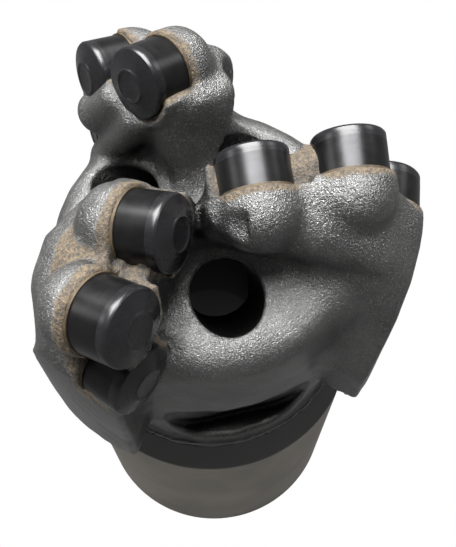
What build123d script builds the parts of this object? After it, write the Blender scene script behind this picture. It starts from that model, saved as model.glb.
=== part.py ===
"""PDC drill bit: a cast tungsten-carbide matrix crown with three wings and nine
polycrystalline-diamond cutters, cast on to a machined steel shank with a threaded box bore.
Millimetres. The base of the shank is on Z = 0 and the drilling direction is +Z.
Wing 0 points along +X, and the bit turns counter-clockwise as seen from above the crown."""

import math
import os

from build123d import *

# ---- driving sizes -------------------------------------------------------------------------
SHANK_R = 41.3            # machined outside of the shank
SHANK_H = 75.0            # full-diameter length of the shank
SHOULDER_H = 85.0         # top of the chamfered shoulder, where the matrix begins
SHOULDER_R = 37.6         # small end of the chamfered shoulder
BASE_CHAMFER = 1.2        # broken edge round the base
BOX_R = 25.0              # threaded box bore, at the thread's minor diameter
BOX_DEPTH = 46.0          # depth of the threaded box
PLENUM_R = 15.0           # mud bore above the box
SPIGOT_R = 24.0           # steel blank inside the matrix
SPIGOT_TOP = 117.0        # top face of the steel blank
SPIGOT_GROOVE_R = 22.0    # bottom of the keying grooves cast full of matrix
PLENUM_ROOF = 121.0       # roof of the mud chamber in the matrix

GAUGE_R = 48.0            # matrix gauge pads
WING_FOOT = 89.0          # underside of the wings
CORE_R = 35.4             # matrix body between the wings
LEDGE_H = 1.6             # upright edge of the foot ring
FLOOR_Z = 137.5           # crown floor on the axis

POCKET_W = 37.0           # breaker pocket, overall width
POCKET_H = 21.0           # breaker pocket, overall height
POCKET_Z = 99.5           # breaker pocket centre
POCKET_FLOOR_R = 29.6     # flat floor of the breaker pocket
POCKET_AT = (-76.5, 43.5, 163.5)

PORTS = (                 # water ports: azimuth, radius on the crown floor, bore radius
    (-75.0, 19.4, 7.7),
    (66.0, 19.4, 7.4),
    (153.0, 22.2, 6.6),
)
PORT_FOOT_R = 7.0         # where every port axis meets the plenum roof

CUTTER_R = 8.0            # 16 mm cutters
CUTTER_L = 13.0           # whole cutter, substrate and table
TABLE_L = 2.2             # diamond table on its rim
TABLE_BEVEL = 0.45        # ground bevel round the cutting edge
CONE_RISE = 1.5           # raised frustum on the face of the table
CONE_R = 3.6              # flat top of that frustum
DISH = 0.35               # shallow dish inside the lip
BRAZE = 0.15              # braze film round and under every cutter
BOSS_WALL = 2.0           # matrix round a cutter pocket
BOSS_BACK = 13.0          # length of the rounded boss behind a cutter face
BOSS_START = 5.0          # bare length of the cutter in front of its boss

# Each wing: azimuth, inner end, outer end of its crest, and its cutters.
# A cutter: radius from the axis, lead ahead of the wing's centre line, height,
# side rake and back rake in degrees, all for the centre of the cutter face.
WINGS = {
    "right": (0.0, -2.0, 40.5, (
        (9.6, 3.5, 157.9, 9.3, 18.0),
        (30.0, 7.7, 158.0, 4.4, 18.0),
        (41.0, 9.2, 142.0, -6.3, 8.0),
    )),
    "far": (120.0, 12.0, 41.0, (
        (24.7, 3.4, 161.0, 14.5, 16.8),
        (41.2, 7.8, 150.8, 2.0, 14.0),
        (40.4, 9.1, 132.6, -6.3, 7.0),
    )),
    "left": (240.0, 6.0, 43.5, (
        (17.2, 3.7, 159.1, 11.0, 16.0),
        (37.6, 7.7, 158.2, 0.4, 16.5),
        (40.4, 9.1, 139.6, -6.3, 6.0),
    )),
}


def wing_place(azimuth):
    """Frame of a wing: X out along it, Y the way it cuts."""
    return Rot(0, 0, azimuth)


def cutter_place(azimuth, cutter):
    """Plane on the rim of a cutter face, its Z straight out of the face."""
    r, lead, z, side, back = cutter
    s, b = math.radians(side), math.radians(back)
    normal = Vector(-math.sin(s) * math.cos(b), math.cos(s) * math.cos(b), math.sin(b))
    across = Vector(-math.cos(s), -math.sin(s), 0)
    return wing_place(azimuth) * Location(Plane(origin=(r, lead, z), x_dir=across, z_dir=normal))


def rod(radius, low, high):
    """Cylinder about Z from low to high."""
    return Pos(0, 0, low) * Cylinder(radius, high - low, align=(Align.CENTER, Align.CENTER, Align.MIN))


def revolved(points):
    """Solid of revolution from a closed outline of (radius, height) points."""
    face = make_face(Polyline(*[(r, 0, z) for r, z in points], close=True))
    return revolve(face, Axis.Z)


def core():
    """Matrix body between the wings: a foot ring, a straight wall and a domed floor."""
    up = Line((0, 0, SHOULDER_H), (0, 0, FLOOR_Z))
    dome = Spline(
        (0, 0, FLOOR_Z), (CORE_R * 0.45, 0, FLOOR_Z - 0.6), (CORE_R * 0.78, 0, FLOOR_Z - 3.6),
        (CORE_R * 0.96, 0, FLOOR_Z - 11.0), (CORE_R, 0, FLOOR_Z - 21.0),
        tangents=((1, 0, 0), (0, 0, -1)))
    foot = Polyline(
        (CORE_R, 0, FLOOR_Z - 21.0), (CORE_R, 0, WING_FOOT - 0.6),
        (SHOULDER_R, 0, SHOULDER_H + LEDGE_H), (SHOULDER_R, 0, SHOULDER_H), (0, 0, SHOULDER_H))
    return revolve(make_face([up, dome, *foot.edges()]), Axis.Z)


def wing_body(inner, crest):
    """One wing, lofted through six outlines from its foot to its crest."""
    levels = (
        (WING_FOOT, ((18, 1), (34, 4.5), (48, 7), (52, -8), (38, -31), (28, -27), (18, -18), (14, -8))),
        (112.0, ((16, 0.5), (34, 4.5), (48, 7), (52, -8), (38.5, -30), (26, -25), (15, -17), (10, -8))),
        (129.0, ((inner, -0.5), (28, 4), (47, 6.5), (51, -7), (42, -25), (25, -22), (inner + 4, -17),
                 (inner - 4, -7))),
        (143.0, ((inner + 1, -0.5), (28, 4), (46, 6.5), (49, -5), (43.5, -19), (25, -18.5),
                 (inner + 5, -15), (inner - 2, -6))),
        (151.5, ((inner + 2, 0), (28, 4), (crest, 6.3), (crest + 3.5, -4), (crest, -16),
                 (25, -17), (inner + 7, -14), (inner + 0.5, -5))),
        (157.5, ((inner + 5, 0), (28, 3.5), (crest - 4, 5.5), (crest - 2.5, -3), (crest - 5, -11),
                 (25, -11.5), (inner + 9, -10), (inner + 4, -4))),
    )
    faces = []
    for z, points in levels:
        outline = Polyline(*[(x, y, z) for x, y in points], close=True)
        faces.append(make_face(outline))
    return loft(faces, ruled=True)


def boss(azimuth, cutter):
    """Matrix that holds a cutter: a cradle round its lower half and a rounded boss behind it."""
    r = CUTTER_R + BOSS_WALL
    front = -TABLE_L - 0.6
    bulge = r * math.sqrt(0.5)
    cap = ThreePointArc((0, 0, -BOSS_BACK - r), (bulge, 0, -BOSS_BACK - bulge), (r, 0, -BOSS_BACK))
    side = Polyline((r, 0, -BOSS_BACK), (r, 0, front), (0, 0, front), (0, 0, -BOSS_BACK - r))
    shape = revolve(make_face([cap, *side.edges()]), Axis.Z)
    bare = Box(4 * r, 2 * r, 10.0, align=(Align.CENTER, Align.MIN, Align.MIN))
    shape -= Pos(0, -r * 0.25, -BOSS_START) * bare
    return cutter_place(azimuth, cutter) * shape


def port(azimuth, r, bore):
    """Slanted water port from the plenum roof to the crown floor."""
    rise = FLOOR_Z - PLENUM_ROOF
    tilt = math.degrees(math.atan2(r - PORT_FOOT_R, rise))
    at = wing_place(azimuth) * Pos(PORT_FOOT_R, 0, PLENUM_ROOF) * Rot(0, tilt, 0)
    return at * rod(bore, -6.0, rise * 3.0)


def pocket(azimuth):
    """Breaker pocket: a flat-floored slot with round ends."""
    face = Plane(origin=(POCKET_FLOOR_R, 0, POCKET_Z), x_dir=(0, 1, 0), z_dir=(1, 0, 0))
    return wing_place(azimuth) * extrude(face * SlotOverall(POCKET_W, POCKET_H), 20.0)


def shank():
    """Steel shank with its chamfered shoulder, blank, box bore and mud bore."""
    body = revolved((
        (0, 0), (SHANK_R - BASE_CHAMFER, 0), (SHANK_R, BASE_CHAMFER), (SHANK_R, SHANK_H),
        (SHOULDER_R, SHOULDER_H), (SPIGOT_R, SHOULDER_H), (SPIGOT_R, SHOULDER_H + 8),
        (SPIGOT_GROOVE_R, SHOULDER_H + 10), (SPIGOT_GROOVE_R, SHOULDER_H + 14),
        (SPIGOT_R, SHOULDER_H + 16), (SPIGOT_R, SHOULDER_H + 21),
        (SPIGOT_GROOVE_R, SHOULDER_H + 23), (SPIGOT_GROOVE_R, SHOULDER_H + 27),
        (SPIGOT_R, SHOULDER_H + 29), (SPIGOT_R, SPIGOT_TOP), (0, SPIGOT_TOP)))
    body -= rod(BOX_R, -1, BOX_DEPTH)
    cone = revolved(((0, BOX_DEPTH), (BOX_R, BOX_DEPTH), (PLENUM_R, BOX_DEPTH + 6), (0, BOX_DEPTH + 6)))
    return body - cone - rod(PLENUM_R, BOX_DEPTH, SPIGOT_TOP + 1)


def substrate():
    """Cemented-carbide stud of a cutter, its rim plane at Z = 0."""
    return rod(CUTTER_R, -CUTTER_L, -TABLE_L)


def table():
    """Diamond table: bevelled rim, shallow cone, lip and dished middle."""
    return revolved((
        (0, -TABLE_L), (CUTTER_R, -TABLE_L), (CUTTER_R, -TABLE_BEVEL),
        (CUTTER_R - TABLE_BEVEL, 0), (CONE_R, CONE_RISE), (CONE_R - 0.35, CONE_RISE),
        (CONE_R - 1.1, CONE_RISE - DISH), (0, CONE_RISE - DISH)))


def clear_cut():
    """Room for a cutter, its braze film and its view forward."""
    hole = rod(CUTTER_R + BRAZE, -CUTTER_L - BRAZE, -TABLE_L)
    return hole + rod(CUTTER_R + 0.5, -TABLE_L, 9.0)


def crown():
    """Matrix crown before its cutter pockets are cut."""
    body = core()
    for azimuth, inner, crest, cutters in WINGS.values():
        wing = wing_place(azimuth) * wing_body(inner, crest)
        for cutter in cutters:
            wing += boss(azimuth, cutter)
        body += wing
    return body


def main():
    os.makedirs("parts", exist_ok=True)
    steel = shank()
    matrix = crown()
    matrix &= rod(GAUGE_R, SHOULDER_H, 200.0)
    for item in PORTS:
        matrix -= port(*item)
    for azimuth in POCKET_AT:
        matrix -= pocket(azimuth)
    matrix -= rod(PLENUM_R, SHOULDER_H - 1, PLENUM_ROOF)
    matrix -= steel
    parts = {"steel_shank": steel}
    films = {}
    for name, (azimuth, _inner, _crest, cutters) in WINGS.items():
        for k, cutter in enumerate(cutters, 1):
            at = cutter_place(azimuth, cutter)
            hole = at * rod(CUTTER_R + BRAZE, -CUTTER_L - BRAZE, -TABLE_L)
            films[f"braze_{name}_{k}"] = (hole & matrix) - at * rod(CUTTER_R, -CUTTER_L, 1.0)
            matrix -= at * clear_cut()
            parts[f"carbide_stud_{name}_{k}"] = at * substrate()
            parts[f"diamond_table_{name}_{k}"] = at * table()
    parts["matrix_crown"] = matrix
    parts.update(films)
    for name, shape in parts.items():
        export_step(shape, f"parts/{name}.step")
        solids = shape.solids()
        print(name, len(solids), [round(s.volume, 1) for s in solids])


if __name__ == "__main__":
    main()
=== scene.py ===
"""Three-wing cast drill bit: the finish of every surface, the camera and the stage."""

import math

import bpy
import numpy as np
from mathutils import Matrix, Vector


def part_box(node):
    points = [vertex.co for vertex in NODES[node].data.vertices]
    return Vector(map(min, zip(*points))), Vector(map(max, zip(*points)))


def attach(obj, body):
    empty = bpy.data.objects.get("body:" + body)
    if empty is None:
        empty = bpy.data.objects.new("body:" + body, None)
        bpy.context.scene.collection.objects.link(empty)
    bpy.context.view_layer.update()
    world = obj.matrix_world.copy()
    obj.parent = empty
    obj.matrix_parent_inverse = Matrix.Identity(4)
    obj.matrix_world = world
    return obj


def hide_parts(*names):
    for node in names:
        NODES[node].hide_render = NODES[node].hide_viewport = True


bl_info = {
    "name": "Cast Drill Bit Dresser",
    "version": (1, 0, 0),
    "blender": (4, 5, 0),
    "location": "View3D > Sidebar > Drill Bit",
    "description": "Casts the crown, grinds the cutters, turns the shank and lights a drill bit",
    "category": "Object",
}

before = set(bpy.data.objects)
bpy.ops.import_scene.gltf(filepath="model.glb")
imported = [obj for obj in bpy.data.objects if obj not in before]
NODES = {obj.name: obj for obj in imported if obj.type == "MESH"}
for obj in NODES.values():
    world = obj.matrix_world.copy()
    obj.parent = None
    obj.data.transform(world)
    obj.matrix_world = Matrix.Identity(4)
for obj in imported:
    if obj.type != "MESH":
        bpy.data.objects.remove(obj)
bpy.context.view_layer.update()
MM = 0.001

# The solids' own sizes, in millimetres and degrees, that the scene has to meet.
TABLE_L = 2.2
CUTTER_L = 13.0
CUTTER_R = 8.0
WINGS = (("right", 0.0), ("far", 120.0), ("left", 240.0))


# ---- places read from the frame ------------------------------------------------------------


def points_of(node):
    """Vertices of a CAD node as an array, in millimetres."""
    mesh = NODES[node].data
    flat = np.empty(len(mesh.vertices) * 3)
    mesh.vertices.foreach_get("co", flat)
    return flat.reshape(-1, 3) / MM


def cutter_frame(name):
    """Rim centre and outward, upward and sideways directions of a cutter, from its two nodes."""
    stud = points_of("carbide_stud_" + name)
    table = points_of("diamond_table_" + name)
    middle = (stud.min(0) + stud.max(0)) / 2
    lines = np.linalg.svd(stud - stud.mean(0), full_matrices=False)[2]
    toward = (table.min(0) + table.max(0)) / 2 - middle
    out = max(lines, key=lambda line: abs(line @ toward))
    out = out * np.sign(out @ toward)
    depth = (stud - stud.mean(0)) @ out
    rim = stud.mean(0) + out * (depth.max() + TABLE_L)
    side = np.cross((0, 0, 1.0), out)
    side /= np.linalg.norm(side)
    return rim, out, np.cross(out, side), side


TABLE_NODE = "diamond_table_"
CUTTERS = {
    node.removeprefix(TABLE_NODE): cutter_frame(node.removeprefix(TABLE_NODE))
    for node in sorted(NODES) if node.startswith(TABLE_NODE)
}


# ---- sizes and colours that a user would change --------------------------------------------


class CrownSizes(bpy.types.PropertyGroup):
    step: bpy.props.FloatProperty(
        name="Skin step", description="Cell of the crown's skin", default=0.00085, min=0.0005,
        subtype="DISTANCE", unit="LENGTH")
    wing_fillet: bpy.props.FloatProperty(
        name="Wing fillet", description="Fillet between a wing and the body", default=0.007,
        subtype="DISTANCE", unit="LENGTH")
    boss_radius: bpy.props.FloatProperty(
        name="Boss radius", description="Radius of the boss behind a cutter", default=0.009,
        subtype="DISTANCE", unit="LENGTH")
    boss_start: bpy.props.FloatProperty(
        name="Bare length", description="Cutter length in front of its boss", default=0.0092,
        subtype="DISTANCE", unit="LENGTH")
    boss_length: bpy.props.FloatProperty(
        name="Boss length", description="Cutter face to the middle of the boss end", default=0.0122,
        subtype="DISTANCE", unit="LENGTH")
    waviness: bpy.props.FloatProperty(
        name="Mould waviness", description="Slow unevenness of the cast skin", default=0.0002,
        subtype="DISTANCE", unit="LENGTH")


class FinishColours(bpy.types.PropertyGroup):
    matrix: bpy.props.FloatVectorProperty(
        name="Matrix", description="Cast tungsten-carbide matrix", subtype="COLOR",
        size=3, default=(0.092, 0.092, 0.09))
    stain: bpy.props.FloatVectorProperty(
        name="Flux stain", description="Brown flux left by brazing", subtype="COLOR",
        size=3, default=(0.052, 0.036, 0.0185))
    diamond: bpy.props.FloatVectorProperty(
        name="Diamond", description="Polycrystalline diamond", subtype="COLOR",
        size=3, default=(0.0045, 0.0045, 0.005))
    carbide: bpy.props.FloatVectorProperty(
        name="Carbide", description="Ground carbide stud", subtype="COLOR",
        size=3, default=(0.017, 0.017, 0.0175))
    steel: bpy.props.FloatVectorProperty(
        name="Shank steel", description="Turned steel of the shank", subtype="COLOR",
        size=3, default=(0.16, 0.145, 0.118))


# ---- shader sockets as numbers -------------------------------------------------------------


class Sock:
    """A shader socket that adds Math nodes when it is used in arithmetic."""

    def __init__(self, shop, socket):
        self.shop = shop
        self.socket = socket

    def math(self, operation, *values):
        return self.shop.node("ShaderNodeMath", {"operation": operation}, *values)

    def __add__(self, other):
        return self.math("ADD", self, other)

    def __radd__(self, other):
        return self.math("ADD", other, self)

    def __sub__(self, other):
        return self.math("SUBTRACT", self, other)

    def __rsub__(self, other):
        return self.math("SUBTRACT", other, self)

    def __mul__(self, other):
        return self.math("MULTIPLY", self, other)

    def __pow__(self, other):
        return self.math("POWER", self, other)


class Shop:
    """Builds one material's nodes."""

    def __init__(self, name):
        self.material = bpy.data.materials.new(name)
        self.material.use_nodes = True
        self.tree = self.material.node_tree
        self.tree.nodes.clear()

    def node(self, kind, settings=None, *values, out=0, **named):
        """Adds a node: its settings first, then its sockets by place or by name."""
        made = self.tree.nodes.new(kind)
        for key, value in (settings or {}).items():
            setattr(made, key, value)
        for place, value in enumerate(values):
            self.feed(made.inputs[place], value)
        for key, value in named.items():
            self.feed(made.inputs[key.replace("_", " ")], value)
        return Sock(self, made.outputs[out]) if len(made.outputs) else None

    def feed(self, socket, value):
        """Links a socket, sets a number or colour, or leaves the default for None."""
        if isinstance(value, Sock):
            self.tree.links.new(value.socket, socket)
        elif value is not None:
            socket.default_value = value

    def place(self):
        """Object coordinates, in metres."""
        return self.node("ShaderNodeTexCoord", out="Object")

    def axes(self, vector):
        """The X, Y and Z of a vector."""
        split = self.tree.nodes.new("ShaderNodeSeparateXYZ")
        self.feed(split.inputs[0], vector)
        return [Sock(self, output) for output in split.outputs]

    def attribute(self, name):
        """One of the mesh's own point attributes."""
        return self.node("ShaderNodeAttribute", {"attribute_name": name}, out="Fac")

    def noise(self, vector, scale, detail=2.0, rough=0.5):
        """Noise between 0 and 1 whose cells are about 1/scale metres."""
        return self.node("ShaderNodeTexNoise", None,
                         Vector=vector, Scale=scale, Detail=detail, Roughness=rough)

    def lines(self, position, detail):
        """Noise along one number only, whose cells are about 1 long."""
        return self.node("ShaderNodeTexNoise", {"noise_dimensions": "1D"},
                         W=position, Scale=1.0, Detail=detail)

    def cells(self, vector, scale):
        """Distance to the nearest of scattered points, about 1/scale metres apart."""
        return self.node("ShaderNodeTexVoronoi", None, Vector=vector, Scale=scale)

    def ramp(self, value, low, high):
        """0 below low, 1 above high, smooth between."""
        return self.node("ShaderNodeMapRange", {"interpolation_type": "SMOOTHSTEP"},
                         Value=value, From_Min=low, From_Max=high)

    def blend(self, factor, first, second):
        """Mixes two colours."""
        made = self.tree.nodes.new("ShaderNodeMix")
        made.data_type = "RGBA"
        self.feed(made.inputs[0], factor)
        self.feed(made.inputs[6], first)
        self.feed(made.inputs[7], second)
        return Sock(self, made.outputs[2])

    def bump(self, height, strength, distance, normal=None):
        """Normal of a height, whose full step is distance metres."""
        return self.node("ShaderNodeBump", None, Strength=strength, Distance=distance,
                         Height=height, Normal=normal)

    def finish(self, **sockets):
        """Closes the material with one Principled surface."""
        surface = self.node("ShaderNodeBsdfPrincipled", None, **sockets)
        self.node("ShaderNodeOutputMaterial", None, surface)
        return self.material


def rgba(colour, gain=1.0):
    """Colour for a socket, each part times gain and no more than 1."""
    return (*[min(1.0, part * gain) for part in colour], 1.0)


# ---- materials -----------------------------------------------------------------------------

# Heights above the base and radii on the shank, in metres.
SHOULDER_FOOT, SHOULDER_TOP = 0.0742, 0.0758
BORE_OUTSIDE, BORE_INSIDE = 0.0275, 0.0255
WHITE = (1.0, 1.0, 1.0, 1.0)
PAPER_GREY = (0.8, 0.8, 0.8, 1.0)


def matrix_finish(colours):
    """Cast matrix: grains, slow blotches, painted glint highlights high up, painted shade in
    crevices and down the water ports, and brown flux.
    """
    shop = Shop("cast_matrix")
    place = shop.place()
    blotch = shop.noise(place, 90.0, detail=4.0, rough=0.6)
    grain = shop.noise(place, 1900.0, detail=3.0, rough=0.7)
    speck = shop.noise(place, 3200.0, detail=2.0, rough=0.6)
    pits = shop.cells(place, 900.0)
    blast_and_glint = shop.attribute("blast_and_glint")
    colour = shop.blend(shop.ramp(blotch, 0.3, 0.7),
                        rgba(colours.matrix, 0.72), rgba(colours.matrix, 1.12))
    colour = shop.blend(shop.ramp(grain, 0.35, 0.75), colour, rgba(colours.matrix, 1.45))
    # Painted highlight: bright glint specks, four times the matrix colour, on the upper crown only.
    glint = shop.ramp(speck, 0.60, 0.72) * blast_and_glint
    colour = shop.blend(glint, colour, rgba(colours.matrix, 4.0))
    wander = shop.noise(place, 260.0, detail=5.0, rough=0.7)
    stain = shop.ramp(shop.attribute("stain") + (wander - 0.5) * 0.9, 0.26, 0.6)
    fleck = shop.noise(place, 1300.0, detail=4.0, rough=0.75)
    brown = shop.blend(shop.ramp(fleck, 0.38, 0.62),
                       rgba(colours.stain, 0.3), rgba(colours.stain, 1.7))
    colour = shop.blend(stain * 0.92, colour, brown)
    # Painted shade: the matrix darkened nearly to black, and made more metallic, in crevices and
    # down the water ports where shade falls.
    painted_crevice_shade = shop.ramp(shop.attribute("crevice"), 0.15, 0.9)
    colour = shop.blend(painted_crevice_shade * 0.85, colour, rgba(colours.matrix, 0.08))
    rough = 0.30 + blast_and_glint * 0.05 + stain * 0.32 + (grain - 0.5) * 0.12
    metal = 0.85 - stain * 0.75 + painted_crevice_shade * 0.15
    height = (grain * 0.6 + speck * 0.6 + pits * 0.15) * (0.3 + blast_and_glint * 0.7)
    fine = shop.bump(height, strength=0.9, distance=0.0005)
    slow = shop.bump(blotch, strength=0.25, distance=0.0006, normal=fine)
    return shop.finish(Base_Color=colour, Roughness=rough, Metallic=metal, Normal=slow)


def diamond_finish(colours):
    """Polished black diamond with faint lapping cloud."""
    shop = Shop("polished_diamond")
    place = shop.place()
    cloud = shop.noise(place, 240.0, detail=3.0, rough=0.6)
    colour = shop.blend(cloud, rgba(colours.diamond, 0.7), rgba(colours.diamond, 1.9))
    rough = 0.22 + cloud * 0.10
    fine = shop.bump(shop.noise(place, 2600.0), strength=0.06, distance=0.0001)
    return shop.finish(Base_Color=colour, Roughness=rough, Metallic=0.0, IOR=1.38, Normal=fine)


def carbide_finish(colours):
    """Ground carbide: fine rings round the stud, read from its own ring attribute."""
    shop = Shop("ground_carbide")
    place = shop.place()
    lines = shop.lines(shop.attribute("ring") * 900.0, detail=3.0)
    cloud = shop.noise(place, 300.0, detail=3.0)
    colour = shop.blend(cloud, rgba(colours.carbide, 0.6), rgba(colours.carbide, 1.6))
    rough = 0.20 + lines * 0.14 + cloud * 0.06
    fine = shop.bump(lines, strength=0.12, distance=0.00006)
    return shop.finish(Base_Color=colour, Roughness=rough, Metallic=0.85, Normal=fine)


def braze_finish(colours):
    """Browned braze."""
    shop = Shop("browned_braze")
    cloud = shop.noise(shop.place(), 500.0, detail=5.0, rough=0.7)
    colour = shop.blend(shop.ramp(cloud, 0.3, 0.7),
                        rgba(colours.stain, 0.4), rgba(colours.stain, 1.2))
    rough = 0.55 + cloud * 0.2
    fine = shop.bump(cloud, strength=0.5, distance=0.0003)
    return shop.finish(Base_Color=colour, Roughness=rough, Metallic=0.35, Normal=fine)


def steel_finish(colours):
    """Turned shank: fine tool rings up the side, dull warm blotches, a dark shoulder, and painted
    shade inside the bore.
    """
    shop = Shop("turned_steel")
    place = shop.place()
    x, y, z = shop.axes(place)
    rings = shop.lines(z * 2600.0, detail=2.0)
    blotch = shop.noise(place, 45.0, detail=4.0, rough=0.6)
    fleck = shop.noise(place, 420.0, detail=4.0, rough=0.7)
    colour = shop.blend(shop.ramp(blotch, 0.3, 0.7),
                        rgba(colours.steel, 0.82), rgba(colours.steel, 1.15))
    colour = shop.blend(shop.ramp(fleck, 0.55, 0.8) * 0.4, colour, rgba(colours.steel, 0.55))
    shoulder = shop.ramp(z, SHOULDER_FOOT, SHOULDER_TOP)
    colour = shop.blend(shoulder, colour, rgba(colours.matrix, 0.4))
    # Painted shade: inside the bore the steel is turned almost black and fully metallic, where
    # little light reaches.
    bore = shop.ramp((x * x + y * y) ** 0.5, BORE_OUTSIDE, BORE_INSIDE)
    colour = shop.blend(bore, colour, rgba(colours.matrix, 0.04))
    rough = 0.42 + rings * 0.12 + shoulder * 0.1
    metal = 0.75 + bore * 0.25
    height = rings * (1.0 - shoulder) + fleck * 0.4
    fine = shop.bump(height, strength=0.2, distance=0.0001)
    return shop.finish(Base_Color=colour, Roughness=rough, Metallic=metal, Normal=fine)


def paper_finish():
    """Plain pale stage: white to the camera, dim in reflections and matt to everything else."""
    shop = Shop("pale_paper")
    path = shop.tree.nodes.new("ShaderNodeLightPath")
    to_camera = Sock(shop, path.outputs["Is Camera Ray"])
    to_gloss = Sock(shop, path.outputs["Is Glossy Ray"])
    matt = shop.node("ShaderNodeBsdfDiffuse", None, Color=PAPER_GREY)
    dim = shop.node("ShaderNodeEmission", None, Color=WHITE, Strength=0.30)
    white = shop.node("ShaderNodeEmission", None, Color=WHITE, Strength=1.0)
    mirrored = shop.node("ShaderNodeMixShader", None, to_gloss, matt, dim)
    mixed = shop.node("ShaderNodeMixShader", None, to_camera, mirrored, white)
    shop.node("ShaderNodeOutputMaterial", None, mixed)
    return shop.material


# ---- solid forms as distance fields, in millimetres ----------------------------------------


def joined(first, second, radius):
    """Smaller of two distances, with a fillet of about that radius where they meet."""
    near = np.clip(0.5 + 0.5 * (second - first) / radius, 0, 1)
    return second * (1 - near) + first * near - radius * near * (1 - near)


def common(first, second, radius):
    """Larger of two distances, with a rounded edge."""
    return -joined(-first, -second, radius)


def carved(body, tool, radius):
    """Body with the tool taken out of it, its edge broken by radius."""
    return common(body, -tool, radius)


def rod_field(p, start, direction, low, high, radius):
    """Distance to a straight round rod between two places along a line."""
    rel = p - start
    along = rel @ direction
    across = np.sqrt(np.maximum((rel ** 2).sum(1) - along ** 2, 0)) - radius
    ends = np.maximum(low - along, along - high)
    outside = np.sqrt(np.maximum(across, 0) ** 2 + np.maximum(ends, 0) ** 2)
    return outside + np.minimum(np.maximum(across, ends), 0)


def capsule_field(p, start, end, radius):
    """Distance to a round-ended rod."""
    span = end - start
    t = np.clip((p - start) @ span / (span @ span), 0, 1)
    return np.linalg.norm(p - start - t[:, None] * span, axis=1) - radius


def turned(p, degrees):
    """Points in the frame of a wing at that azimuth."""
    c, s = math.cos(math.radians(degrees)), math.sin(math.radians(degrees))
    return np.stack((p[:, 0] * c + p[:, 1] * s, p[:, 1] * c - p[:, 0] * s, p[:, 2]), 1)


def beside(place, shift):
    """Point that lies forward, up and sideways of a cutter's rim centre by the three shifts."""
    rim, out, up, side = place
    return rim + out * shift[0] + up * shift[1] + side * shift[2]


# ---- the crown's sizes, in millimetres above the base and from the axis --------------------

# Core: a drum with a domed floor, a foot ring, and the socket and chamber (radius, top) inside.
FLOOR_Z = 137.5
FOOT_Z = 85.0
CORE_R = 36.4
DOME_R = 8.0
CORE_BELOW = 20.0
RING_R, RING_Z, RING_HALF, RING_FILLET = 37.6, 0.8, 0.9, 1.2
SPIGOT = (24.0, 117.0)
PLENUM = (15.0, 121.0)

# Ports: azimuth in degrees, radius at the floor, and bore radius.
PORTS = ((-76.0, 19.8, 8.0), (70.0, 19.5, 7.4), (153.0, 22.2, 6.6))
PORT_FOOT_R = 7.0
PORT_BELOW, PORT_ABOVE, PORT_EDGE = 8.0, 60.0, 0.7

# Breaker pockets between the wings: azimuths, then the slot's form.
POCKETS = (-76.5, 43.5, 163.5)
POCKET_HALF, POCKET_Z, POCKET_R, POCKET_FLOOR, POCKET_EDGE = 8.0, 99.5, 10.5, 30.4, 1.4

# Gauge: full radius up to the step, then the smaller one.
GAUGE_R, STEP_R, STEP_Z, STEP_H = 47.8, 45.2, 147.0, 0.9

# Wings, in a wing's own frame: X outward along it, Y forward, Z up.
WING_FOOT = 101.0
LEAD_SLOPE, LEAD_BACK = 0.152, 0.3
BACK_LEVELS = (98, 112, 129, 143)
BACK_AT_AXIS = (8.0, 8.5, 11.0, 9.5)
BACK_GROWTH = (0.60, 0.56, 0.30, 0.22)
LEAN = 0.85
CREST_Z = 160.8
SHOULDER_X, SHOULDER_RUN, SHOULDER_DROP, SHOULDER_LIMIT = 25, 18, 11.0, 1.4
FALL_FROM, FALL_LIMIT, FALL_CURVE = 3, 25, 0.1
INNER_BACK, INNER_Z, INNER_SLOPE, INNER_LIMIT = 1.5, 140, 0.25, 5
WING_EDGE, INNER_EDGE, GAUGE_EDGE = 4.0, 3.0, 1.4
WING_FILLET_AT, WING_FILLET_SHARE = (105, 125), (0.4, 1.0)
INNER_END = {"right": -2.0, "far": 12.0, "left": 6.0}
FULLNESS = {"right": 1.0, "far": 1.1, "left": 0.8}
DROP = {"right": 0.30, "far": 0.10, "left": 0.17}
# The back's change from its lower form to its crest: where it starts and over what height.
CREST_RAMP = {"right": (143.0, 6.0), "far": (130.0, 18.0), "left": (130.0, 18.0)}
# How far the crest's back lies behind the wing's axis: pairs of distance out and distance back.
CREST_BACK = {
    "right": ((-2, 11.0), (10, 13.0), (30, 17.0), (42, 21.5)),
    "far": ((10, 13.0), (19, 19.5), (29, 23.5), (40, 23.0)),
    "left": ((6, 14.0), (16, 22.0), (26, 24.0), (37, 20.5), (45, 13.0)),
}

# Bosses and the cradles under the cutters, measured from a cutter's rim centre.
BOSS_EDGE, BOSS_FILLET = 0.8, 1.8
CRADLE_LOW, CRADLE_HIGH, CRADLE_WALL = -14.0, -0.9, 1.8
CRADLE_UP, CRADLE_IN, CRADLE_CUT, CRADLE_EDGE, CRADLE_FILLET = 0.87, 0.5, 3.6, 1.4, 1.5
BARE_GAP, BARE_ABOVE, BARE_EDGE = 4.0, 1.0, 1.0
FRONT_FROM, FRONT_TO, FRONT_GAP, FRONT_EDGE = -1.3, 12.0, 0.4, 0.7

# Ribs of matrix between two cutters: each end as forward, up and sideways from a cutter's rim
# centre, then the rib's radius.
BROWS = (
    ("right_1", (-6.0, -1.0, -6.5), "right_2", (-6.0, -1.0, 6.5), 4.3),
    ("far_1", (-3.0, -10.5, 0.0), "far_3", (0.0, 0.0, 8.0), 4.5),
    ("far_2", (-1.0, -8.5, 2.0), "far_3", (-0.5, 7.5, 0.0), 4.2),
    ("far_2", (0.0, -7.5, 5.0), "far_1", (-2.0, -8.5, -6.5), 4.2),
)
BROW_FILLET = 2.5

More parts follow.
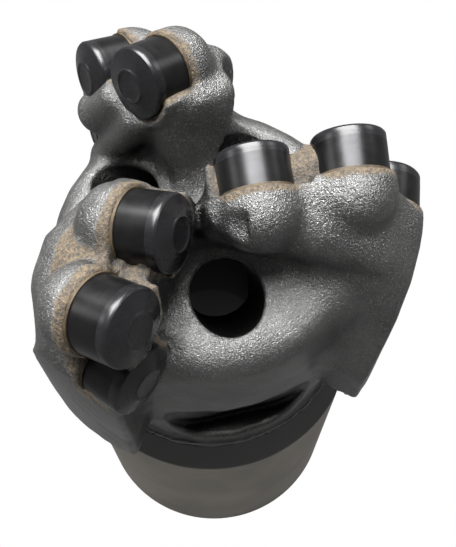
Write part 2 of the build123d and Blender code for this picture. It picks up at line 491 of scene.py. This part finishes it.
# Webs of brown flux between two cutters: reach, distance behind the faces, and strength.
WEBS = (
    ("right_1", "right_2", 4.2, 6.5, 1.0),
    ("right_2", "right_3", 3.6, 7.0, 0.8),
    ("far_1", "far_2", 4.6, 6.0, 0.9),
    ("left_1", "left_2", 8.5, 12.5, 1.0),
    ("left_2", "left_3", 7.0, 9.5, 1.0),
)
FLUX_BEHIND, FLUX_FRONT, FLUX_SEAT, FLUX_FADE, WEB_FADE = 0.6, -2.0, 0.6, 1.15, 1.8
BOSS_CLEAN_FROM, BOSS_CLEAN_RUN, BOSS_CLEAN_FADE = 1.5, 2, 0.7

# Maps for the crown's material: the crevice map is painted shade in hollows and down the water
# ports; the height map masks the blasted skin and its painted glints.
CREVICE_REACH = 5.0
PORT_SHADE_FADE, PORT_SHADE_RUN = 0.4, 1.5
# Height over which the upper crown's mask rises: a rougher, bumpier blasted skin and painted glint
# highlights.
BLAST_Z, BLAST_RUN = 118.0, 20.0


# ---- the crown -----------------------------------------------------------------------------


def core_field(p):
    """Body between the wings: a tall drum with a domed floor and a foot ring."""
    r = np.hypot(p[:, 0], p[:, 1])
    middle = (FLOOR_Z + FOOT_Z - CORE_BELOW) / 2
    half = (FLOOR_Z - FOOT_Z + CORE_BELOW) / 2
    across = r - (CORE_R - DOME_R)
    up = np.abs(p[:, 2] - middle) - (half - DOME_R)
    drum = np.sqrt(np.maximum(across, 0) ** 2 + np.maximum(up, 0) ** 2)
    drum += np.minimum(np.maximum(across, up), 0) - DOME_R
    ring = np.maximum(r - RING_R, np.abs(p[:, 2] - FOOT_Z - RING_Z) - RING_HALF)
    return joined(drum, ring, RING_FILLET)


def wing_field(p, wing):
    """A wing, in its own frame: the space behind its leading wall, before its leaning back, under
    its crest, outside its inner end and inside the gauge."""
    x, y, z = p.T
    lead = y - (LEAD_SLOPE * x - LEAD_BACK)
    low = np.interp(z, BACK_LEVELS, BACK_AT_AXIS)
    grow = np.interp(z, BACK_LEVELS, BACK_GROWTH)
    foot = FULLNESS[wing] * (low + grow * x)
    crest = np.interp(x, *np.transpose(CREST_BACK[wing]))
    ramp_foot, ramp = CREST_RAMP[wing]
    near = np.clip((z - ramp_foot) / ramp, 0, 1)
    back = (-y - foot * (1 - near) - crest * near) * LEAN
    shoulder = np.clip((x - SHOULDER_X) / SHOULDER_RUN, 0, SHOULDER_LIMIT)
    fall = np.clip(-y - FALL_FROM, 0, FALL_LIMIT)
    height = CREST_Z - SHOULDER_DROP * shoulder ** 2
    height = height - DROP[wing] * (fall + FALL_CURVE * fall ** 2)
    top = (z - height) * LEAN
    start = INNER_END[wing] - INNER_BACK - x
    start = start + np.clip((z - INNER_Z) * INNER_SLOPE, 0, INNER_LIMIT)
    edge = GAUGE_R - (GAUGE_R - STEP_R) * np.clip((z - STEP_Z) / STEP_H + 0.5, 0, 1)
    shape = common(lead, back, WING_EDGE)
    shape = common(shape, top, WING_EDGE)
    shape = common(shape, start, INNER_EDGE)
    shape = common(shape, np.hypot(x, y) - edge, GAUGE_EDGE)
    return np.maximum(shape, WING_FOOT - z)


def boss_fields(p, place, sizes):
    """A cutter's boss, flat in front and round behind, and the cradle that carries the cutter's
    lower, inner side."""
    rim, out, up, side = place
    rel = p - rim
    along = rel @ out
    inward = side * -np.sign(side @ rim)
    tail = rim - out * sizes.boss_length / MM
    round_end = capsule_field(p, tail, rim, sizes.boss_radius / MM)
    boss = common(round_end, along + sizes.boss_start / MM, BOSS_EDGE)
    shell = rod_field(p, rim, out, CRADLE_LOW, CRADLE_HIGH, CUTTER_R + CRADLE_WALL)
    above = rel @ (up * CRADLE_UP - inward * CRADLE_IN) + CRADLE_CUT
    return boss, common(shell, above, CRADLE_EDGE)


def with_seat(body, p, place, sizes):
    """Body with a cutter's boss added, the bare part of the stud cleared, and the cradle added."""
    rim, out, up, _ = place
    boss, cradle = boss_fields(p, place, sizes)
    bare = rod_field(p, rim, out, -sizes.boss_start / MM, 0.0, CUTTER_R + BARE_GAP)
    bare = np.maximum(np.maximum(bare, -cradle), BARE_ABOVE - (p - rim) @ up)
    body = joined(body, boss, BOSS_FILLET)
    body = carved(body, bare, BARE_EDGE)
    return joined(body, cradle, CRADLE_FILLET)


def mould_waves(p):
    """Slow unevenness: sin(.31x + 1.3) sin(.27y + .4) sin(.29z) and half as much of a finer one."""
    x, y, z = p.T
    slow = np.sin(x * 0.31 + 1.3) * np.sin(y * 0.27 + 0.4) * np.sin(z * 0.29)
    return slow + 0.5 * np.sin(x * 0.71 + z * 0.53) * np.sin(y * 0.63 - z * 0.41)


def port_field(p):
    """The three slanted water ports, each a rod from the mud chamber up through the floor."""
    field = np.full(len(p), 1e3)
    for azimuth, r, bore in PORTS:
        lean = np.array((r - PORT_FOOT_R, 0.0, FLOOR_Z - PLENUM[1]))
        lean /= np.linalg.norm(lean)
        foot = np.array((PORT_FOOT_R, 0.0, PLENUM[1]))
        port = rod_field(turned(p, azimuth), foot, lean, -PORT_BELOW, PORT_ABOVE, bore)
        field = np.minimum(field, port)
    return field


def pocket_field(p, azimuth):
    """A breaker pocket: a lying slot with round ends, flat at its floor."""
    out, across, up = turned(p, azimuth).T
    beyond = np.maximum(np.abs(across) - POCKET_HALF, 0)
    slot = np.hypot(beyond, np.abs(up - POCKET_Z)) - POCKET_R
    return np.maximum(slot, POCKET_FLOOR - out)


def crown_field(p, sizes):
    """Whole crown: core and wings in soft fillets and bosses, then the gauge, ports, pockets, the
    clear space before the faces, ribs, and the socket and chamber inside."""
    body = core_field(p)
    fillet = sizes.wing_fillet / MM * np.interp(p[:, 2], WING_FILLET_AT, WING_FILLET_SHARE)
    for wing, azimuth in WINGS:
        body = joined(body, wing_field(turned(p, azimuth), wing), fillet)
    for place in CUTTERS.values():
        body = with_seat(body, p, place, sizes)
    body = body + sizes.waviness / MM * mould_waves(p)
    r = np.hypot(p[:, 0], p[:, 1])
    body = np.maximum(body, r - GAUGE_R)
    body = carved(body, port_field(p), PORT_EDGE)
    for azimuth in POCKETS:
        body = carved(body, pocket_field(p, azimuth), POCKET_EDGE)
    for rim, out, _, _ in CUTTERS.values():
        front = rod_field(p, rim, out, FRONT_FROM, FRONT_TO, CUTTER_R + FRONT_GAP)
        body = carved(body, front, FRONT_EDGE)
    for first, low, second, high, radius in BROWS:
        start, end = beside(CUTTERS[first], low), beside(CUTTERS[second], high)
        body = joined(body, capsule_field(p, start, end, radius), BROW_FILLET)
    for radius, top in (SPIGOT, PLENUM):
        body = np.maximum(body, -np.maximum(r - radius, p[:, 2] - top))
    return np.maximum(body, FOOT_Z - p[:, 2])


def stain_at(p, sizes):
    """Brown flux: a thin ring at every cutter's seat and a web between neighbouring cutters, off
    their bosses."""
    ring = np.zeros(len(p))
    mouth = -sizes.boss_start / MM
    for rim, out, _, _ in CUTTERS.values():
        seat = rod_field(p, rim, out, mouth - FLUX_BEHIND, FLUX_FRONT, CUTTER_R)
        ring = np.maximum(ring, np.exp(-np.maximum(seat - FLUX_SEAT, 0) / FLUX_FADE))
    web = np.zeros(len(p))
    for first, second, reach, back, strength in WEBS:
        start, end = [CUTTERS[name][0] - CUTTERS[name][1] * back for name in (first, second)]
        band = capsule_field(p, start, end, reach)
        web = np.maximum(web, strength * np.exp(-np.maximum(band, 0) / WEB_FADE))
    for place in CUTTERS.values():
        along = -((p - place[0]) @ place[1]) + mouth
        off = np.maximum(boss_fields(p, place, sizes)[0], 0)
        behind = np.clip((along - BOSS_CLEAN_FROM) / BOSS_CLEAN_RUN, 0, 1)
        web = web * (1 - np.exp(-off / BOSS_CLEAN_FADE) * behind)
    return np.maximum(ring, web)


# ---- skin of a field -----------------------------------------------------------------------

FIELD_PARTS = 24
NEWTON_ROUNDS = 3
LEAST_SLOPE = 0.2


def net_of(field, low, high, step):
    """Skin of a distance field: one point in each grid cell that the zero surface crosses, at the
    mean of its crossings, and one quad round each grid edge that changes sign."""
    axes = [np.arange(a, b + step, step) for a, b in zip(low, high)]
    shape = tuple(len(a) for a in axes)
    grid = np.stack(np.meshgrid(*axes, indexing="ij"), -1).reshape(-1, 3)
    value = np.concatenate([field(part) for part in np.array_split(grid, FIELD_PARTS)])
    value = value.reshape(shape)
    solid = value < 0
    count = [n - 1 for n in shape]
    total = np.zeros((*count, 3))
    hits = np.zeros(count)
    for axis in range(3):
        others = [a for a in range(3) if a != axis]
        for da in (0, 1):
            for db in (0, 1):
                first = [slice(0, n) for n in count]
                first[others[0]] = slice(da, da + count[others[0]])
                first[others[1]] = slice(db, db + count[others[1]])
                second = list(first)
                second[axis] = slice(1, 1 + count[axis])
                a, b = value[tuple(first)], value[tuple(second)]
                cross = (a < 0) != (b < 0)
                t = np.where(cross, a / np.where(cross, a - b, 1), 0)
                offset = np.zeros((*count, 3))
                offset[..., axis] = t
                offset[..., others[0]] = da
                offset[..., others[1]] = db
                total += offset * cross[..., None]
                hits += cross
    live = hits > 0
    number = np.full(count, -1)
    number[live] = np.arange(live.sum())
    corner = np.argwhere(live) + total[live] / hits[live][:, None]
    points = np.array(low) + corner * step
    quads = []
    for axis in range(3):
        b, c = [a for a in range(3) if a != axis]
        inner = [slice(1, n) for n in count]
        inner[axis] = slice(0, count[axis])
        ahead = list(inner)
        ahead[axis] = slice(1, 1 + count[axis])
        s0, s1 = solid[tuple(inner)], solid[tuple(ahead)]
        edge = np.argwhere(s0 != s1)
        outward = s0[tuple(edge.T)]
        at = edge + 1
        at[:, axis] -= 1
        ring = []
        for db, dc in ((1, 1), (0, 1), (0, 0), (1, 0)):
            cell = at.copy()
            cell[:, b] -= db
            cell[:, c] -= dc
            ring.append(number[tuple(cell.T)])
        quad = np.stack(ring, 1)
        flip = outward if axis != 1 else ~outward
        quad[~flip] = quad[~flip][:, ::-1]
        quads.append(quad)
    return points, np.concatenate(quads)


def slope_of(field, p, reach=0.05):
    """Gradient of a field by central differences."""
    steps = np.eye(3) * reach
    return np.stack([(field(p + s) - field(p - s)) / (2 * reach) for s in steps], 1)


def settled(field, p, limit):
    """Points moved on to the zero surface along the field's slope, each by no more than limit."""
    for _ in range(NEWTON_ROUNDS):
        slope = slope_of(field, p)
        size = np.maximum((slope ** 2).sum(1), LEAST_SLOPE)
        move = -(field(p) / size)[:, None] * slope
        length = np.linalg.norm(move, axis=1, keepdims=True)
        p = p + move * np.minimum(1, limit / np.maximum(length, 1e-9))
    return p
# ---- meshes --------------------------------------------------------------------------------

AROUND = 96
TABLE_PROFILE = (
    (0, -2.2), (7.96, -2.2), (7.96, -0.5), (7.9, -0.36), (7.62, 0.0), (7.5, 0.04), (5.6, 0.62),
    (3.95, 1.22), (3.75, 1.42), (3.55, 1.5), (3.3, 1.44), (3.0, 1.26), (1.6, 1.16), (0, 1.14),
)
STUD_PROFILE = (
    (0, -CUTTER_L), (7.6, -CUTTER_L), (7.98, -CUTTER_L + 0.4), (7.98, -2.2), (0, -2.2),
)
TABLE_STEP, STUD_STEP = 1.2, 1.5
TURNED_SHARP, FILM_SHARP = 24, 40
FILM_BEHIND, FILM_BEFORE, FILM_T = 0.1, 0.3, 0.3


def add_mesh(name, points, faces, material, sharp=None, rides=True):
    """New object from arrays in millimetres; it rides on the root and takes a material slot."""
    mesh = bpy.data.meshes.new(name)
    faces = faces if isinstance(faces, list) else faces.tolist()
    mesh.from_pydata((points * MM).tolist(), [], faces)
    mesh.polygons.foreach_set("use_smooth", np.ones(len(mesh.polygons), bool))
    if sharp:
        mesh.set_sharp_from_angle(angle=math.radians(sharp))
    mesh.materials.append(material)
    mesh.update()
    made = bpy.data.objects.new(name, mesh)
    bpy.context.scene.collection.objects.link(made)
    if rides:
        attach(made, "root")
    return made


def attribute(mesh, name, values):
    """Adds a number to every point of a mesh, for its material to read."""
    layer = mesh.attributes.new(name, "FLOAT", "POINT")
    layer.data.foreach_set("value", np.asarray(values, np.float32))


def rings_of(rows, around):
    """Point (r cos a, r sin a, h) for each (r, h) row and each of the even angles a."""
    angle = np.linspace(0, 2 * math.pi, around, endpoint=False)
    grid = np.stack((rows[:, :1] * np.cos(angle), rows[:, :1] * np.sin(angle),
                     np.repeat(rows[:, 1:], around, 1)), -1)
    return grid.reshape(-1, 3)


def band(first, second, around):
    """Quads between two rings of points, given by the number of each ring's first point."""
    i = np.arange(around)
    j = (i + 1) % around
    return np.stack((first + i, first + j, second + j, second + i), 1)


def lathe(profile, around=AROUND):
    """Profile of (radius, height) pairs turned about Z: point (r cos a, r sin a, h) on a grid of
    profile by angle, with a single pole at each end, where the radius is nought."""
    profile = np.array(profile, float)
    rows = profile[1:-1]
    poles = [(0, 0, profile[0, 1]), (0, 0, profile[-1, 1])]
    n = len(rows)
    i = np.arange(around)
    j = (i + 1) % around
    faces = []
    for row in range(n - 1):
        faces += band(row * around, (row + 1) * around, around).tolist()
    faces += np.stack((np.full(around, n * around), j, i), 1).tolist()
    last = (n - 1) * around
    faces += np.stack((last + i, last + j, np.full(around, n * around + 1)), 1).tolist()
    return np.concatenate((rings_of(rows, around), poles)), faces


def hoop(low, high, inner, outer, around=AROUND):
    """A thin tube about Z: point (r cos a, r sin a, h) at its four rims, closed into one ring of
    walls."""
    rims = np.array(((inner, low), (outer, low), (outer, high), (inner, high)), float)
    rows = np.arange(4) * around
    walls = [band(a, b, around) for a, b in zip(rows, np.roll(rows, -1))]
    return rings_of(rims, around), np.concatenate(walls)


def bowl(line, around):
    """Open profile of (radius, height) pairs turned about Z with its faces towards the middle:
    point (r cos a, r sin a, h), and one point in the middle, where the profile starts."""
    rings = rings_of(line[1:], around)
    i = np.arange(around)
    faces = np.stack((i, (i + 1) % around, np.full(around, len(rings))), 1).tolist()
    for row in range(len(line) - 2):
        faces += band(row * around, (row + 1) * around, around)[:, [1, 0, 3, 2]].tolist()
    return np.concatenate((rings, [(0.0, 0.0, line[0, 1])])), faces


def dense(profile, step):
    """Profile with extra points so that no stretch is longer than step."""
    profile = np.array(profile, float)
    rows = [profile[:1]]
    for a, b in zip(profile[:-1], profile[1:]):
        pieces = max(1, math.ceil(np.linalg.norm(b - a) / step))
        t = np.linspace(0, 1, pieces + 1)[1:, None]
        rows.append(a + (b - a) * t)
    return np.concatenate(rows)


def put(points, place):
    """Points of a cutter's own frame set at its place: X sideways, Y up, Z out of the face."""
    rim, out, up, side = place
    return rim + points[:, :1] * side + points[:, 1:2] * up + points[:, 2:] * out


# ---- operators -----------------------------------------------------------------------------

NET_MARGIN = 2.6

# Stage: the floor's profile in millimetres, and lamps and camera in metres, watts and radians.
FLOOR_R, FLOOR_FLAT_R, BEND_R, WALL_TOP = 1700, 900.0, 600, 900.0
FLOOR_AROUND, BEND_POINTS = 64, 12
WORLD_STRENGTH = 0.1
# Each lamp's name, place, aim, size and power.
LAMPS = (
    ("key", (-0.1, 0.25, 0.95), (0, 0, 0.13), 0.75, 60.0),
    ("rim", (0.75, 0.45, 0.7), (0, 0, 0.13), 0.3, 1.6),
    ("left", (-0.9, 0.1, 0.6), (0, 0, 0.1), 0.3, 1.6),
)
SENSOR_W, LENS_LENGTH, LENS_SPAN = 36.0, 726.15, 547.0
CLIP_START = 0.01
CAMERA_TURN, CAMERA_REACH, CAMERA_HEIGHT = math.radians(2.8), 0.090704, 0.277896
CAMERA_DOWN, CAMERA_ROLL, CAMERA_YAW = 1.069, -0.002, 0.051


class BIT_OT_crown(bpy.types.Operator):
    """Cast the crown: a soft-filleted skin over its field, with a stain map, a height map for the
    blasted skin and its painted glints, and a map of painted shade in crevices and ports
    """

    bl_idname = "drill_bit.crown"
    bl_label = "Cast the Crown"

    def execute(self, context):
        sizes = context.scene.crown_sizes
        low, high = [np.array(corner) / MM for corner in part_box("matrix_crown")]

        def field(p):
            return crown_field(p, sizes)

        points, quads = net_of(field, low - NET_MARGIN, high + NET_MARGIN, sizes.step / MM)
        points = settled(field, points, sizes.step / MM)
        points[:, 2] = np.maximum(points[:, 2], FOOT_Z)
        cast = matrix_finish(context.scene.finish_colours)
        made = add_mesh("crown_skin", points, quads, cast)
        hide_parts("matrix_crown")
        slope = slope_of(field, points)
        normal = slope / np.maximum(np.linalg.norm(slope, axis=1, keepdims=True), 1e-6)
        # Painted shade mask: how closed-in each point is, and how deep it lies in a water port, for
        # the matrix to darken.
        open_by = field(points + normal * CREVICE_REACH) / CREVICE_REACH
        hollow = np.clip(1.0 - open_by, 0, 1)
        in_port = np.exp(-np.maximum(port_field(points), 0) / PORT_SHADE_FADE)
        in_port = in_port * np.clip((FLOOR_Z - points[:, 2]) / PORT_SHADE_RUN, 0, 1)
        attribute(made.data, "stain", stain_at(points, sizes))
        attribute(made.data, "crevice", np.maximum(hollow, in_port))
        attribute(made.data, "blast_and_glint", np.clip((points[:, 2] - BLAST_Z) / BLAST_RUN, 0, 1))
        return {"FINISHED"}


class BIT_OT_cutters(bpy.types.Operator):
    """Grind the nine cutters: a bevelled, coned and dished table on a brazed carbide stud each"""

    bl_idname = "drill_bit.cutters"
    bl_label = "Grind the Cutters"

    def execute(self, context):
        colours = context.scene.finish_colours
        diamond = diamond_finish(colours)
        carbide = carbide_finish(colours)
        braze = braze_finish(colours)
        mouth = -context.scene.crown_sizes.boss_start / MM
        for name, place in CUTTERS.items():
            points, faces = lathe(dense(TABLE_PROFILE, TABLE_STEP))
            table = add_mesh("table_" + name, put(points, place), faces, diamond,
                             sharp=TURNED_SHARP)
            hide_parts("diamond_table_" + name)
            points, faces = lathe(dense(STUD_PROFILE, STUD_STEP))
            stud = add_mesh("stud_" + name, put(points, place), faces, carbide,
                            sharp=TURNED_SHARP)
            attribute(stud.data, "ring", points[:, 2] * MM)
            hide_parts("carbide_stud_" + name)
            points, faces = hoop(-CUTTER_L - FILM_BEHIND, mouth + FILM_BEFORE,
                                 CUTTER_R, CUTTER_R + FILM_T)
            film = add_mesh("film_" + name, put(points, place), faces, braze,
                            sharp=FILM_SHARP)
            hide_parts("braze_" + name)
        return {"FINISHED"}


class BIT_OT_metal(bpy.types.Operator):
    """Finish the turned shank"""

    bl_idname = "drill_bit.metal"
    bl_label = "Finish the Shank"

    def execute(self, context):
        steel = steel_finish(context.scene.finish_colours)
        NODES["steel_shank"].material_slots[0].material = steel
        return {"FINISHED"}


class BIT_OT_stage(bpy.types.Operator):
    """Pale floor that rises all round, soft studio lamps and the camera"""

    bl_idname = "drill_bit.stage"
    bl_label = "Set the Stage"

    def execute(self, context):
        scene = context.scene
        scene.view_settings.view_transform = "Standard"
        angle = np.linspace(0, math.pi / 2, BEND_POINTS)
        bend = np.stack((FLOOR_R + BEND_R * np.sin(angle), BEND_R - BEND_R * np.cos(angle)), 1)
        line = np.concatenate(
            ([(0.0, 0.0), (FLOOR_FLAT_R, 0.0)], bend, [(FLOOR_R + BEND_R, WALL_TOP)]))
        points, faces = bowl(line, FLOOR_AROUND)
        floor = add_mesh("floor_sweep", points, faces, paper_finish(), rides=False)
        world = bpy.data.worlds.new("studio")
        world.use_nodes = True
        light = world.node_tree.nodes["Background"].inputs
        light["Color"].default_value = WHITE
        light["Strength"].default_value = WORLD_STRENGTH
        scene.world = world
        for name, place, aim, size, power in LAMPS:
            lamp = bpy.data.lights.new(name, "AREA")
            lamp.size = size
            lamp.energy = power
            holder = bpy.data.objects.new(name, lamp)
            holder.location = place
            toward = Vector(aim) - Vector(place)
            holder.rotation_euler = toward.to_track_quat("-Z", "Y").to_euler()
            scene.collection.objects.link(holder)
        lens = bpy.data.cameras.new("camera")
        lens.sensor_width = SENSOR_W
        lens.lens = SENSOR_W * LENS_LENGTH / LENS_SPAN
        lens.clip_start = CLIP_START
        camera = bpy.data.objects.new("camera", lens)
        camera.location = (CAMERA_REACH * math.sin(CAMERA_TURN),
                           -CAMERA_REACH * math.cos(CAMERA_TURN), CAMERA_HEIGHT)
        camera.rotation_euler = (math.pi / 2 - CAMERA_DOWN, CAMERA_ROLL, CAMERA_TURN - CAMERA_YAW)
        scene.collection.objects.link(camera)
        scene.camera = camera
        return {"FINISHED"}


class BIT_PT_panel(bpy.types.Panel):
    """Lists the bit's operators, sizes and colours"""

    bl_label = "Drill Bit"
    bl_idname = "BIT_PT_panel"
    bl_space_type = "VIEW_3D"
    bl_region_type = "UI"
    bl_category = "Drill Bit"

    def draw(self, context):
        for operator in STEPS:
            self.layout.operator(operator.bl_idname)
        for group in (context.scene.crown_sizes, context.scene.finish_colours):
            for key in group.__annotations__:
                self.layout.prop(group, key)


STEPS = (BIT_OT_crown, BIT_OT_cutters, BIT_OT_metal, BIT_OT_stage)
GROUPS = (CrownSizes, FinishColours)


def register():
    for kind in (*GROUPS, *STEPS, BIT_PT_panel):
        bpy.utils.register_class(kind)
    bpy.types.Scene.crown_sizes = bpy.props.PointerProperty(type=CrownSizes)
    bpy.types.Scene.finish_colours = bpy.props.PointerProperty(type=FinishColours)


def unregister():
    del bpy.types.Scene.crown_sizes
    del bpy.types.Scene.finish_colours
    for kind in reversed((*GROUPS, *STEPS, BIT_PT_panel)):
        bpy.utils.unregister_class(kind)


def main():
    register()
    bpy.ops.drill_bit.crown()
    bpy.ops.drill_bit.cutters()
    bpy.ops.drill_bit.metal()
    bpy.ops.drill_bit.stage()


if __name__ == "__main__":
    main()
